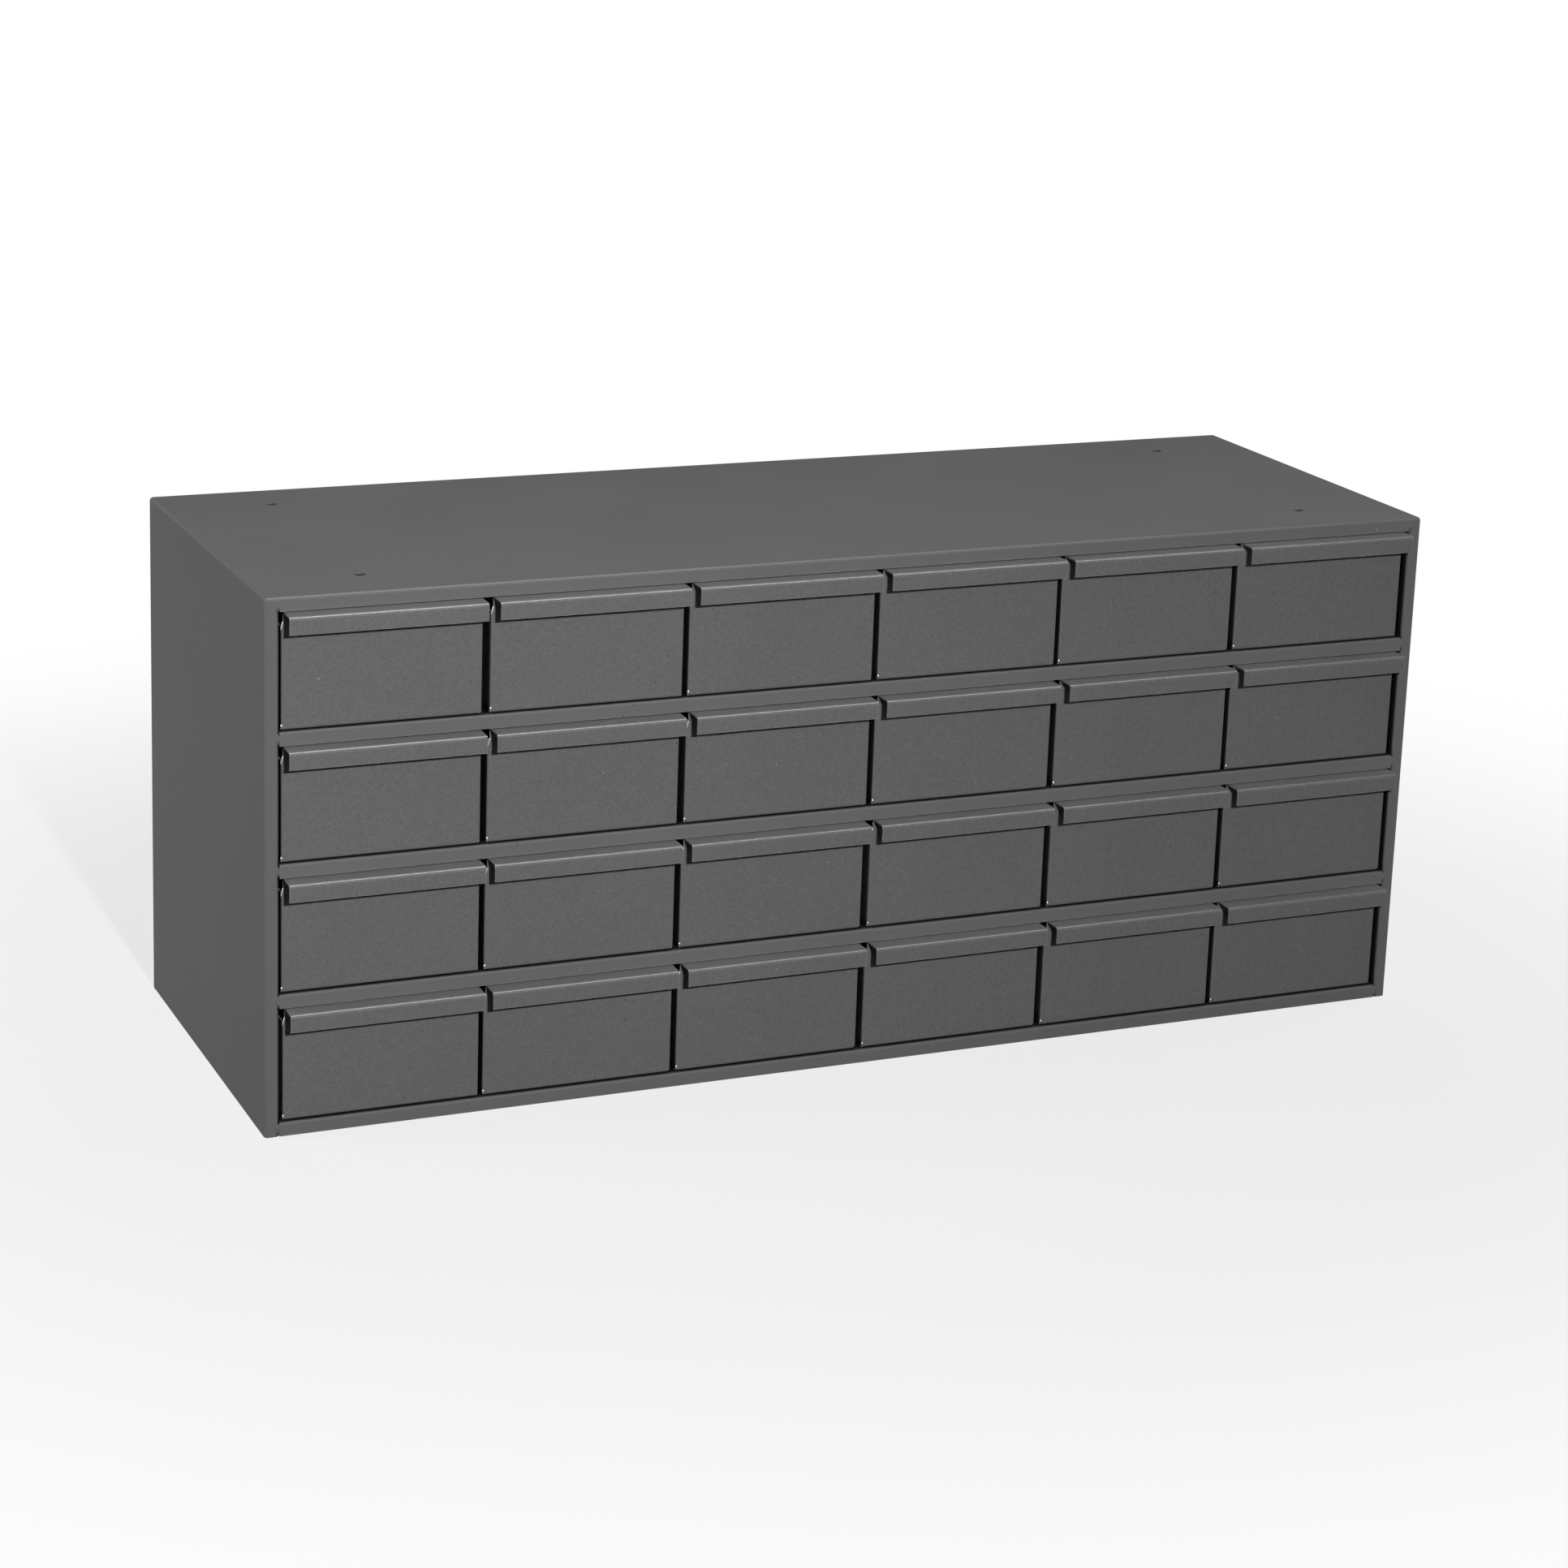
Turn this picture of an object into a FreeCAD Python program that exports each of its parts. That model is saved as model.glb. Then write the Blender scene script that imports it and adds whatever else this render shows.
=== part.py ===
"""Steel parts bin cabinet: a folded shell, shelves with a front lip, and pull-out bins with a divider each.

Frame: +X to the right, -Y out of the front, +Z up, origin at the bottom centre of the whole cabinet.
"""
import FreeCAD, Part
import Sketcher
import os
from collections import namedtuple

COLUMNS = 6
ROWS = 4
SLOTS = 5
DIVIDER_SLOT = SLOTS - 1

SIZES = (
    ("cell_width", 139.7, "pitch of the bins across the cabinet"),
    ("opening_height", 79.375, "clear height of a bin opening, from a shelf to the rail above"),
    ("stile_width", 9.525, "face of the upright front frame members"),
    ("rail_height", 9.525, "face of the level front frame members"),
    ("cabinet_depth", 298.45, "front frame face to back edge"),
    ("shell_sheet", 1.2, "sheet of the shell"),
    ("shell_bend_inside", 1.3, "inside radius of the shell's folds"),
    ("stile_return", 7.0, "how far a stile's inner edge is folded back"),
    ("rear_flange", 12.7, "inward flange round the back opening"),
    ("seam_gap", 0.4, "joint between a rail's end and a stile"),
    ("bolt_hole", 7.9375, "diameter of the stacking holes"),
    ("bolt_side_margin", 76.2, "stacking hole to the cabinet's side"),
    ("bolt_end_margin", 44.45, "stacking hole to the front frame face or the back edge"),
    ("shelf_sheet", 1.2, "sheet of the shelves"),
    ("shelf_bend_inside", 0.8, "inside radius of a shelf's front fold"),
    ("shelf_flange", 8.0, "height of a shelf's welding flange at the sides"),
    ("bottom_sheet", 1.2, "sheet of the bottom panel"),
    ("back_sheet", 1.2, "sheet of the back panel"),
    ("guide_height", 22.0, "height of the guide bars between the bins"),
    ("guide_clearance", 1.3, "side play between a centred bin and a guide bar"),
    ("guide_setback", 32.0, "frame face to the front end of the guide bars"),
    ("guide_rear_gap", 12.0, "rear end of the guide bars to the back panel"),
    ("guide_lead", 10.0, "length and height of the slope at a guide bar's front end"),
    ("bin_sheet", 0.9, "sheet of the bins"),
    ("bin_bend_inside", 0.6, "inside radius of a bin's folds"),
    ("bin_gap", 4.2, "gap between neighbouring bins"),
    ("bin_recess", 3.2, "bin front behind the frame face"),
    ("bin_lift", 0.3, "running clearance under a bin"),
    ("bin_rear_gap", 0.4, "closed bin to the back panel"),
    ("bin_side_drop", 9.275, "top edge of a bin's side walls below its handle's top"),
    ("bin_stop_catch", 3.925, "how far the stop ears reach up behind the rail above"),
    ("bin_stop_length", 10.0, "length of the stop ears"),
    ("corner_notch", 1.6, "bend relief at the lower front corners of a bin"),
    ("handle_head_gap", 0.8, "handle's top to the rail above it"),
    ("handle_depth", 15.9, "handle's reach from the bin front"),
    ("handle_apron", 11.9, "height of the handle's turned-down front"),
    ("handle_inset", 1.35, "handle's end to the bin's side"),
    ("handle_bend_inside", 1.6, "inside radius of the handle's front fold"),
    ("slot_width", 1.6, "divider slot in a side wall"),
    ("slot_base", 12.0, "lower end of a divider slot above the bin's underside"),
    ("slot_top_margin", 15.0, "upper end of a divider slot below the side wall's top edge"),
    ("divider_sheet", 0.8, "sheet of the dividers"),
    ("divider_drop", 9.0, "divider's top below the side wall's top edge"),
    ("divider_side_gap", 0.5, "divider to the inside of a side wall"),
    ("divider_tab_gap", 0.6, "divider's tab to each end of its slot"),
    ("divider_hem", 7.0, "folded-over top edge of a divider"),
    ("overrun", 2.0, "how far a cut runs past the material"),
)
SAME_PLACE = 0.01

# How far each bin stands to the right of its cell's middle, as a share of its side play; row 1 is the top.
SIDE_PLAY_SHARES = (
    (-0.15, 0.7, 0.4, 0.25, -0.6, -0.6),
    (-0.1, -0.1, 0.3, 0.0, 0.15, -0.4),
    (0.0, -0.4, -0.45, 0.25, 0.55, 0.25),
    (0.75, -0.25, -0.4, -0.1, 0.25, -0.3),
)

# Formulas of the sheet's cells that several pieces share.
HALF_WIDTH = f"({COLUMNS} * sizes.cell_width / 2 + sizes.stile_width)"
HEIGHT = f"({ROWS} * (sizes.opening_height + sizes.rail_height) + sizes.rail_height)"
FRONT = "((sizes.handle_depth - sizes.bin_recess - sizes.cabinet_depth) / 2)"
BACK = "((sizes.handle_depth - sizes.bin_recess + sizes.cabinet_depth) / 2)"
INSIDE_HALF_WIDTH = f"({HALF_WIDTH} - sizes.shell_sheet)"
INSIDE_BACK = f"({BACK} - sizes.shell_sheet - sizes.back_sheet)"
OPENING_HALF_WIDTH = f"({HALF_WIDTH} - sizes.stile_width)"
RAIL_HALF_LENGTH = f"({OPENING_HALF_WIDTH} - sizes.seam_gap)"
BEHIND_STILES = f"({FRONT} + sizes.stile_return)"
SHELL_BEND = "(sizes.shell_bend_inside + sizes.shell_sheet)"
BIN_BEND = "(sizes.bin_bend_inside + sizes.bin_sheet)"
BIN_HALF_WIDTH = "((sizes.cell_width - sizes.bin_gap) / 2)"
BIN_LENGTH = f"({INSIDE_BACK} - sizes.bin_rear_gap - {FRONT} - sizes.bin_recess)"
HANDLE_TOP = "(sizes.opening_height - sizes.handle_head_gap - sizes.bin_lift)"
SIDE_TOP = f"({HANDLE_TOP} - sizes.bin_side_drop)"
STOP_TOP = "(sizes.opening_height - sizes.bin_lift + sizes.bin_stop_catch)"
SLOT_PITCH = f"({BIN_LENGTH} / {SLOTS + 1})"
SLOT_TOP = f"({SIDE_TOP} - sizes.slot_top_margin)"

# Sketcher numbers a line's two ends and a circle's centre; the sketch's own origin is an end of geometry -1.
START, END, CENTRE = range(1, 4)
ORIGIN = -1
Corner = namedtuple("Corner", "across up radius", defaults=("",))

doc = FreeCAD.newDocument("parts_bin_cabinet")
sheet = doc.addObject("Spreadsheet::Sheet", "sizes")
for line, (alias, millimetres, meaning) in enumerate(SIZES, start=1):
    sheet.set(f"A{line}", meaning)
    sheet.set(f"B{line}", str(millimetres))
    sheet.setAlias(f"B{line}", alias)
doc.recompute()

subparts = []


def measure(formula):
    """Value of a formula of the sheet's cells, in millimetres."""
    return float(sheet.evalExpression(str(formula)))


def new_body(label):
    """An empty body that is written to its own file."""
    body = doc.addObject("PartDesign::Body", label)
    subparts.append(body)
    return body


def place(body, east="0", north="0", up="0"):
    """Binds a body's place to formulas."""
    for axis, formula in zip("xyz", (east, north, up)):
        body.setExpression(f"Placement.Base.{axis}", formula)


def copy_of(original, label):
    """A body that repeats another one's shape at a place of its own."""
    body = new_body(label)
    base = body.newObject("PartDesign::FeatureBase", f"{label}_copy")
    base.BaseFeature = original
    body.Tip = base
    return body


def sketch_on(body, name, role, offset="0"):
    """An empty sketch on one of the body's own origin planes, moved along the plane's normal."""
    sketch = body.newObject("Sketcher::SketchObject", name)
    plane = next(item for item in body.Origin.OriginFeatures if item.Role == role)
    sketch.AttachmentSupport = (plane, [""])
    sketch.MapMode = "FlatFace"
    sketch.setExpression("AttachmentOffset.Base.z", offset)
    return sketch


def fix_point(sketch, geometry, point, across, up):
    """Ties one point of a sketch to two formulas, measured from the sketch's origin."""
    for kind, formula in (("DistanceX", across), ("DistanceY", up)):
        rule = Sketcher.Constraint(kind, ORIGIN, START, geometry, point, measure(formula))
        sketch.setExpression(f"Constraints[{sketch.addConstraint(rule)}]", formula)


def point_at(place):
    """Where a pair of formulas, or a corner, lies in its sketch."""
    return FreeCAD.Vector(measure(place[0]), measure(place[1]), 0)


def fold_end(corner, other):
    """Where the level or upright side from a corner to another one leaves the corner's fold."""
    if not corner.radius:
        return corner.across, corner.up
    step = point_at(other) - point_at(corner)
    signs = [0 if abs(part) < SAME_PLACE else round(part / abs(part)) for part in (step.x, step.y)]
    return tuple(f"{formula} + ({sign}) * {corner.radius}" for formula, sign in zip(corner, signs))


def add_fold(sketch, arrive, leave, corner):
    """Adds a fold's quarter circle from arrive to leave, and gives its number and its two end numbers."""
    first, last, sharp = point_at(arrive), point_at(leave), point_at(corner)
    centre = first + last - sharp
    outward = sharp - centre
    middle = centre + outward.normalize() * (first - centre).Length
    number = sketch.addGeometry(Part.Arc(first, middle, last))
    rule = Sketcher.Constraint("Radius", number, measure(corner.radius))
    sketch.setExpression(f"Constraints[{sketch.addConstraint(rule)}]", corner.radius)
    forwards = (sketch.getPoint(number, START) - first).Length < SAME_PLACE
    return (number, START, END) if forwards else (number, END, START)


def add_outline(sketch, corners):
    """Adds a closed outline to a sketch.

    A corner is a pair of formulas, with a third for its radius where square sides meet in a fold.
    """
    corners = [Corner(*corner) for corner in corners]
    chain = []
    for before, corner, after in zip(corners[-1:] + corners, corners, corners[1:] + corners):
        leave = fold_end(corner, after)
        if corner.radius:
            arrive = fold_end(corner, before)
            chain.append((*add_fold(sketch, arrive, leave, corner), arrive))
        line = sketch.addGeometry(Part.LineSegment(point_at(leave), point_at(fold_end(after, corner))))
        chain.append((line, START, END, leave))
    for (number, first, last, begin), (following, its_first, *_) in zip(chain, chain[1:] + chain):
        sketch.addConstraint(Sketcher.Constraint("Coincident", number, last, following, its_first))
        fix_point(sketch, number, first, *begin)


def rectangle(left, right, low, high):
    """Corners of a rectangle between four formulas."""
    return ((left, low), (right, low), (right, high), (left, high))


def mirror_image(corners):
    """The same corners on the other side of the middle."""
    return tuple((f"-{across}", *rest) for across, *rest in corners)


def both_halves(right_half):
    """Corners of a symmetric outline, from those of its right half in order."""
    return right_half + tuple(reversed(mirror_image(right_half)))


def add_circle(sketch, across, up, diameter):
    """Adds a circle to a sketch."""
    centre = FreeCAD.Vector(measure(across), measure(up), 0)
    upwards = FreeCAD.Vector(0, 0, 1)
    number = sketch.addGeometry(Part.Circle(centre, upwards, measure(diameter) / 2))
    fix_point(sketch, number, CENTRE, across, up)
    rule = Sketcher.Constraint("Diameter", number, measure(diameter))
    sketch.setExpression(f"Constraints[{sketch.addConstraint(rule)}]", diameter)


def extrude(body, kind, name, sketch, length, flipped=False, both_ways=False):
    """Pads or pockets a sketch by a formula's length."""
    feature = body.newObject(f"PartDesign::{kind}", name)
    feature.Profile = sketch
    feature.Reversed = flipped
    if both_ways:
        feature.SideType = "Symmetric"
    feature.setExpression("Length", length)
    body.Tip = feature
    return feature


def round_edges(body, name, radius, chosen):
    """Fillets the edges of the body's last feature for which chosen(edge) is true."""
    base = body.Tip
    doc.recompute()
    edges = [f"Edge{number}" for number, edge in enumerate(base.Shape.Edges, start=1) if chosen(edge)]
    if not edges:
        raise SystemExit(f"{body.Label}: {name} finds no edge")
    fillet = body.newObject("PartDesign::Fillet", name)
    fillet.Base = (base, edges)
    fillet.setExpression("Radius", radius)
    body.Tip = fillet
    return fillet


def add_bolt_holes(sketch):
    """Adds the four stacking holes, seen from above, to a sketch."""
    across = f"({HALF_WIDTH} - sizes.bolt_side_margin)"
    for side in (f"-{across}", across):
        for row in (f"{FRONT} + sizes.bolt_end_margin", f"{BACK} - sizes.bolt_end_margin"):
            add_circle(sketch, side, row, "sizes.bolt_hole")


def make_shell():
    """Top, sides, stiles, top rail and rear flanges, folded from one sheet."""
    body = new_body("cabinet_shell")
    plan = sketch_on(body, "shell_plan", "XY_Plane")
    add_outline(plan, rectangle(f"-{HALF_WIDTH}", HALF_WIDTH, FRONT, BACK))
    extrude(body, "Pad", "shell_block", plan, HEIGHT)
    height = measure(HEIGHT)

    def is_fold(edge):
        """The upright corners and the four edges of the top."""
        levels = [vertex.Point.z for vertex in edge.Vertexes]
        return max(levels) > height - SAME_PLACE
    round_edges(body, "shell_folds", SHELL_BEND, is_fold)

    inside = sketch_on(body, "inside_plan", "XY_Plane")
    inner_front = f"{FRONT} + sizes.shell_sheet"
    inner_back = f"{BACK} - sizes.shell_sheet"
    add_outline(inside, rectangle(f"-{INSIDE_HALF_WIDTH}", INSIDE_HALF_WIDTH, inner_front, inner_back))
    extrude(body, "Pocket", "inside", inside, f"{HEIGHT} - sizes.shell_sheet", flipped=True)

    # The front opening runs up beside the top rail's ends, where the stiles' folded edges come in.
    opening = sketch_on(body, "opening_face", "XZ_Plane", f"-{FRONT}")
    rail_edge, seam_top = f"{HEIGHT} - sizes.rail_height", f"{HEIGHT} - {SHELL_BEND}"
    cut_half_width = f"({OPENING_HALF_WIDTH} + sizes.stile_width / 2)"
    add_outline(opening, both_halves((
        (cut_half_width, "-sizes.overrun"), (cut_half_width, seam_top),
        (RAIL_HALF_LENGTH, seam_top), (RAIL_HALF_LENGTH, rail_edge),
    )))
    extrude(body, "Pocket", "front_opening", opening, "sizes.shell_sheet + sizes.overrun")

    rear = sketch_on(body, "rear_face", "XZ_Plane", f"-{BACK}")
    rear_half_width = f"({HALF_WIDTH} - sizes.rear_flange)"
    rear_top = f"{HEIGHT} - sizes.rear_flange"
    add_outline(rear, rectangle(f"-{rear_half_width}", rear_half_width, "-sizes.overrun", rear_top))
    extrude(body, "Pocket", "rear_opening", rear, "sizes.shell_sheet + sizes.overrun", flipped=True)

    edges = sketch_on(body, "stile_edge_plan", "XY_Plane")
    edge_inside = f"({OPENING_HALF_WIDTH} + sizes.shell_sheet)"
    right_edge = (
        (cut_half_width, FRONT), (cut_half_width, inner_front),
        (edge_inside, inner_front, "sizes.shell_bend_inside"), (edge_inside, BEHIND_STILES),
        (OPENING_HALF_WIDTH, BEHIND_STILES), (OPENING_HALF_WIDTH, FRONT, SHELL_BEND),
    )
    add_outline(edges, right_edge)
    add_outline(edges, mirror_image(right_edge))
    extrude(body, "Pad", "stile_edges", edges, seam_top)

    holes = sketch_on(body, "top_hole_plan", "XY_Plane", HEIGHT)
    add_bolt_holes(holes)
    extrude(body, "Pocket", "top_holes", holes, "sizes.shell_sheet + sizes.overrun")
    return body


def add_floor_outline(sketch, front_edge):
    """Plan of a sheet that fills the shell and is notched round the stiles' folded edges."""
    add_outline(sketch, both_halves((
        (RAIL_HALF_LENGTH, front_edge), (RAIL_HALF_LENGTH, BEHIND_STILES),
        (INSIDE_HALF_WIDTH, BEHIND_STILES), (INSIDE_HALF_WIDTH, INSIDE_BACK),
    )))


def make_bottom():
    """Flat bottom panel between the shell's sides, with the same stacking holes as the top."""
    body = new_body("bottom_panel")
    plan = sketch_on(body, "bottom_plan", "XY_Plane")
    add_floor_outline(plan, f"{FRONT} + sizes.shelf_sheet")
    extrude(body, "Pad", "bottom_floor", plan, "sizes.bottom_sheet")
    holes = sketch_on(body, "bottom_hole_plan", "XY_Plane", "sizes.bottom_sheet")
    add_bolt_holes(holes)
    extrude(body, "Pocket", "bottom_holes", holes, "sizes.bottom_sheet + sizes.overrun")
    return body


def make_back():
    """Flat back panel, held inside the shell's rear flanges."""
    body = new_body("back_panel")
    face = sketch_on(body, "back_face", "XZ_Plane", f"-{INSIDE_BACK}")
    left, right = f"-{INSIDE_HALF_WIDTH}", INSIDE_HALF_WIDTH
    add_outline(face, rectangle(left, right, "0", f"{HEIGHT} - sizes.shell_sheet"))
    extrude(body, "Pad", "back_plate", face, "sizes.back_sheet", flipped=True)
    return body


def make_shelf(label):
    """Shelf whose front edge is folded down into a rail; its own zero level is the top face."""
    body = new_body(label)
    floor = sketch_on(body, "shelf_plan", "XY_Plane")
    add_floor_outline(floor, FRONT)
    extrude(body, "Pad", "shelf_floor", floor, "sizes.shelf_sheet", flipped=True)
    lip = sketch_on(body, "lip_plan", "XY_Plane")
    lip_back = f"{FRONT} + sizes.shelf_sheet"
    add_outline(lip, rectangle(f"-{RAIL_HALF_LENGTH}", RAIL_HALF_LENGTH, FRONT, lip_back))
    extrude(body, "Pad", "front_lip", lip, "sizes.rail_height", flipped=True)
    flanges = sketch_on(body, "flange_plan", "XY_Plane")
    flange_inside = f"({INSIDE_HALF_WIDTH} - sizes.shelf_sheet)"
    right_flange = rectangle(flange_inside, INSIDE_HALF_WIDTH, BEHIND_STILES, INSIDE_BACK)
    add_outline(flanges, right_flange)
    add_outline(flanges, mirror_image(right_flange))
    extrude(body, "Pad", "side_flanges", flanges, "sizes.shelf_flange", flipped=True)
    front = measure(FRONT)

    def is_fold(edge):
        """The front edge of the top face."""
        ends = [vertex.Point for vertex in edge.Vertexes]
        return all(abs(end.y - front) < SAME_PLACE and abs(end.z) < SAME_PLACE for end in ends)
    round_edges(body, "lip_fold", "sizes.shelf_bend_inside + sizes.shelf_sheet", is_fold)
    return body


def make_guides(label):
    """Guide bars at every bin boundary of one shelf; their own zero level is the shelf's top face."""
    body = new_body(label)
    half_bar = "(sizes.bin_gap / 2 - sizes.guide_clearance)"
    start, stop = f"({FRONT} + sizes.guide_setback)", f"({INSIDE_BACK} - sizes.guide_rear_gap)"
    side = sketch_on(body, "guide_side", "YZ_Plane", f"-{OPENING_HALF_WIDTH} - {half_bar}")
    add_outline(side, (
        (start, "0"), (stop, "0"), (stop, "sizes.guide_height"),
        (f"{start} + sizes.guide_lead", "sizes.guide_height"),
        (start, "sizes.guide_height - sizes.guide_lead"),
    ))
    bar = extrude(body, "Pad", "guide_bar", side, f"2 * {half_bar}")
    row = body.newObject("PartDesign::LinearPattern", "guide_row")
    row.Originals = [bar]
    row.Direction = (side, ["N_Axis"])
    row.Occurrences = COLUMNS + 1
    row.setExpression("Length", f"{COLUMNS} * sizes.cell_width")
    body.Tip = row
    return body


def make_bin(label):
    """Open bin folded from one sheet, whose front runs on into the pull handle.

    Its own zero is the middle of the front's lower edge.
    """
    body = new_body(label)
    plan = sketch_on(body, "bin_plan", "XY_Plane")
    add_outline(plan, rectangle(f"-{BIN_HALF_WIDTH}", BIN_HALF_WIDTH, "0", BIN_LENGTH))
    extrude(body, "Pad", "bin_block", plan, STOP_TOP)
    top = measure(STOP_TOP)

    def is_fold(edge):
        """The upright corners and the edges of the floor."""
        levels = [vertex.Point.z for vertex in edge.Vertexes]
        return min(levels) < top - SAME_PLACE
    round_edges(body, "bin_folds", BIN_BEND, is_fold)

    hollow = sketch_on(body, "hollow_plan", "XY_Plane", STOP_TOP)
    inner_half, inner_back = f"({BIN_HALF_WIDTH} - sizes.bin_sheet)", f"{BIN_LENGTH} - sizes.bin_sheet"
    add_outline(hollow, rectangle(f"-{inner_half}", inner_half, "sizes.bin_sheet", inner_back))
    extrude(body, "Pocket", "hollow", hollow, f"{STOP_TOP} - sizes.bin_sheet")

    # The front and the sides are lower than the rear wall and its two stop ears.
    trim = sketch_on(body, "trim_side", "YZ_Plane")
    ear_front = f"{BIN_LENGTH} - sizes.bin_stop_length"
    add_outline(trim, rectangle("-sizes.overrun", ear_front, SIDE_TOP, f"{STOP_TOP} + sizes.overrun"))
    extrude(body, "Pocket", "trim", trim, f"2 * {BIN_HALF_WIDTH} + sizes.overrun", both_ways=True)

    profile = sketch_on(body, "handle_side", "YZ_Plane")
    inside_face = "(sizes.bin_sheet - sizes.handle_depth)"
    under_top = f"({HANDLE_TOP} - sizes.bin_sheet)"
    apron_edge = f"({HANDLE_TOP} - sizes.handle_apron)"
    add_outline(profile, (
        ("0", SIDE_TOP), ("sizes.bin_sheet", SIDE_TOP),
        ("sizes.bin_sheet", HANDLE_TOP, BIN_BEND),
        ("-sizes.handle_depth", HANDLE_TOP, "(sizes.handle_bend_inside + sizes.bin_sheet)"),
        ("-sizes.handle_depth", apron_edge), (inside_face, apron_edge),
        (inside_face, under_top, "sizes.handle_bend_inside"), ("0", under_top, "sizes.bin_bend_inside"),
    ))
    handle_width = f"2 * ({BIN_HALF_WIDTH} - sizes.handle_inset)"
    extrude(body, "Pad", "handle", profile, handle_width, both_ways=True)

    notches = sketch_on(body, "notch_face", "XZ_Plane")
    notch_inside = f"({BIN_HALF_WIDTH} - sizes.corner_notch)"
    notch_outside = f"({BIN_HALF_WIDTH} + sizes.overrun)"
    right_notch = rectangle(notch_inside, notch_outside, "-sizes.overrun", "sizes.corner_notch")
    add_outline(notches, right_notch)
    add_outline(notches, mirror_image(right_notch))
    extrude(body, "Pocket", "corner_notches", notches, "sizes.corner_notch")

    slots = sketch_on(body, "slot_side", "YZ_Plane")
    slot_front = f"{SLOT_PITCH} - sizes.slot_width / 2"
    slot_back = f"{SLOT_PITCH} + sizes.slot_width / 2"
    add_outline(slots, rectangle(slot_front, slot_back, "sizes.slot_base", SLOT_TOP))
    through_both = f"2 * {BIN_HALF_WIDTH} + sizes.overrun"
    slot = extrude(body, "Pocket", "slot_pair", slots, through_both, both_ways=True)
    row = body.newObject("PartDesign::LinearPattern", "slot_row")
    row.Originals = [slot]
    row.Direction = (slots, ["H_Axis"])
    row.Occurrences = SLOTS
    row.setExpression("Length", f"{SLOTS - 1} * {SLOT_PITCH}")
    body.Tip = row
    return body


def make_divider(label):
    """Divider plate with a hemmed top, whose tabs sit in the bin's slots; it shares the bin's zero."""
    body = new_body(label)
    middle = f"({DIVIDER_SLOT} * {SLOT_PITCH})"
    half_width = f"({BIN_HALF_WIDTH} - sizes.bin_sheet - sizes.divider_side_gap)"
    tab_low = "sizes.slot_base + sizes.divider_tab_gap"
    tab_high = f"{SLOT_TOP} - sizes.divider_tab_gap"
    divider_top = f"({SIDE_TOP} - sizes.divider_drop)"
    face = sketch_on(body, "divider_face", "XZ_Plane", f"-{middle}")
    add_outline(face, both_halves((
        (half_width, "sizes.bin_sheet"), (half_width, tab_low), (BIN_HALF_WIDTH, tab_low),
        (BIN_HALF_WIDTH, tab_high), (half_width, tab_high), (half_width, divider_top),
    )))
    extrude(body, "Pad", "divider_plate", face, "sizes.divider_sheet", both_ways=True)
    hem = sketch_on(body, "hem_face", "XZ_Plane", f"-{middle} - sizes.divider_sheet / 2")
    hem_low = f"{divider_top} - sizes.divider_hem"
    add_outline(hem, rectangle(f"-{half_width}", half_width, hem_low, divider_top))
    extrude(body, "Pad", "divider_hem", hem, "sizes.divider_sheet", flipped=True)
    return body


def shelf_level(row):
    """Formula for the top face of the shelf under a row; row 1 is the highest."""
    return f"{ROWS - row} * (sizes.opening_height + sizes.rail_height) + sizes.rail_height"


make_shell()
make_bottom()
make_back()
shelf = make_shelf("shelf_1")
guides = make_guides("drawer_guides_1")
for row in range(1, ROWS + 1):
    row_shelf = shelf if row == 1 else copy_of(shelf, f"shelf_{row}")
    row_guides = guides if row == 1 else copy_of(guides, f"drawer_guides_{row}")
    place(row_shelf, up=shelf_level(row))
    place(row_guides, up=shelf_level(row))

first_bin = make_bin("drawer_r1c1")
first_divider = make_divider("divider_r1c1")
for row in range(1, ROWS + 1):
    for column in range(1, COLUMNS + 1):
        cell = f"r{row}c{column}"
        play_share = SIDE_PLAY_SHARES[row - 1][column - 1]
        east = f"({2 * column - 1 - COLUMNS}) * sizes.cell_width / 2 + ({play_share}) * sizes.guide_clearance"
        up = f"{shelf_level(row)} + sizes.bin_lift"
        is_first = (row, column) == (1, 1)
        bin_body = first_bin if is_first else copy_of(first_bin, f"drawer_{cell}")
        divider = first_divider if is_first else copy_of(first_divider, f"divider_{cell}")
        for body in (bin_body, divider):
            place(body, east, f"{FRONT} + sizes.bin_recess", up)

doc.recompute()
for item in doc.Objects:
    if {"Invalid", "Error"} & set(item.State):
        raise SystemExit(f"{item.Label} failed: {item.State}")
for body in subparts:
    if body.Shape.isNull() or not body.Shape.isValid():
        raise SystemExit(f"{body.Label} has no valid shape")

os.makedirs("parts", exist_ok=True)
for body in subparts:
    body.Shape.exportStep(f"parts/{body.Label}.step")
    print(body.Label, len(body.Shape.Solids), "solids,", round(body.Shape.Volume), "mm3")
rail_back = f"{FRONT} + sizes.shell_sheet"
ears_front = f"{FRONT} + sizes.bin_recess + {BIN_LENGTH} - sizes.bin_stop_length"
travel = measure(f"{ears_front} - ({rail_back})")
print("a bin slides", round(travel, 2), "mm before its ears meet the rail")
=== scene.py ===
import math
import bpy
from mathutils import Matrix, Vector


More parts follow.
